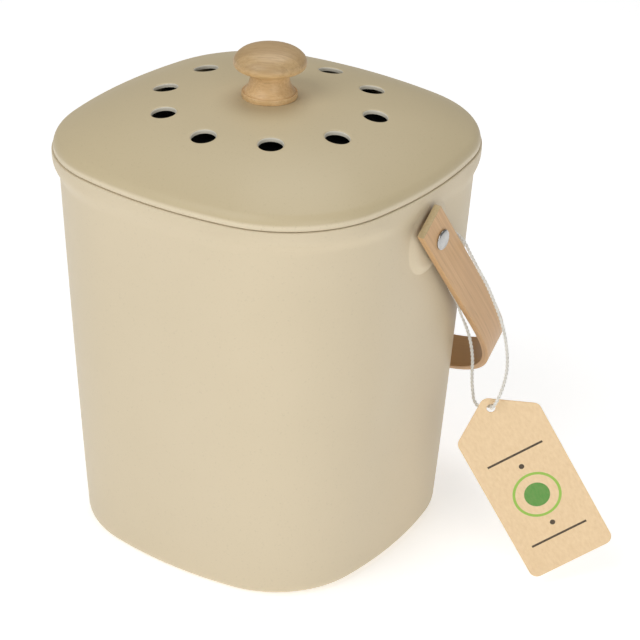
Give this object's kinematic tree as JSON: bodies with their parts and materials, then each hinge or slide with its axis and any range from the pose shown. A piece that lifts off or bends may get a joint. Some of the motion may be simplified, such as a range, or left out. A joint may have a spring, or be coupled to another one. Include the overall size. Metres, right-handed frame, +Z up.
{
  "type": "compost bin",
  "caption": "Rounded-square tapering kitchen compost bin with vented domed lid, turned wooden knob, charcoal filter, bent wooden bail handle and a card hang tag.",
  "frame": {"origin": "centre of the flat base, on the surface that the bin stands on", "axes": "+Z up; X runs through both handle pivots, with the hang tag on the +X side; the handle rests against the wall on the +Y side"},
  "size_m": [0.2782, 0.192, 0.2462],
  "materials": {
    "tub_beige": "satin moulded",
    "lid_beige": "satin moulded",
    "cover_beige": "satin moulded",
    "silicone": "matte translucent white",
    "carbon_pad": "matte fibrous",
    "knob_wood": "turned, thin clear lacquer",
    "handle_wood": "bent laminated strip, thin clear lacquer",
    "brass": "machined",
    "steel": "zinc plated",
    "chrome": "polished",
    "nylon": "natural",
    "kraft_card": "matte uncoated kraft board",
    "cotton_string": "twisted natural cotton"
  },
  "bodies": {
    "bin": {"bin_body": "tub_beige", "pivot_screw_left": "chrome", "pivot_screw_right": "chrome", "pivot_spacer_left": "nylon", "pivot_spacer_right": "nylon", "inner_washer_left": "steel", "inner_washer_right": "steel", "pivot_nut_left": "steel", "pivot_nut_right": "steel"},
    "lid": {"lid_shell": "lid_beige", "lid_seal": "silicone", "lid_knob": "knob_wood", "knob_insert": "brass", "knob_screw": "steel", "knob_washer": "steel"},
    "filter_cover": {"filter_cover": "cover_beige", "carbon_filter": "carbon_pad"},
    "handle": {"handle_bail": "handle_wood", "pivot_bush_left": "brass", "pivot_bush_right": "brass", "tag_string": "cotton_string", "string_knot": "cotton_string"},
    "tag": {"tag_card": "kraft_card"}
  },
  "joints": [
    {"name": "handle_swing", "type": "hinge", "parent": "bin", "child": "handle", "pos_m": [0, 0, 0.1756], "axis": [1, 0, 0], "range_deg": [0, 282]},
    {"name": "lid_lift", "type": "slide", "parent": "bin", "child": "lid", "axis": [0, 0, 1], "range_m": [0, 0.1]},
    {"name": "filter_cover_pull", "type": "slide", "parent": "lid", "child": "filter_cover", "axis": [0, 0, -1], "range_m": [0, 0.03]},
    {"name": "tag_swing", "type": "hinge", "parent": "handle", "child": "tag", "pos_m": [0.124, 0.0082, 0.09274], "axis": [0.5675, -0.8115, 0.1392], "range_deg": [-40, 25]}
  ]
}
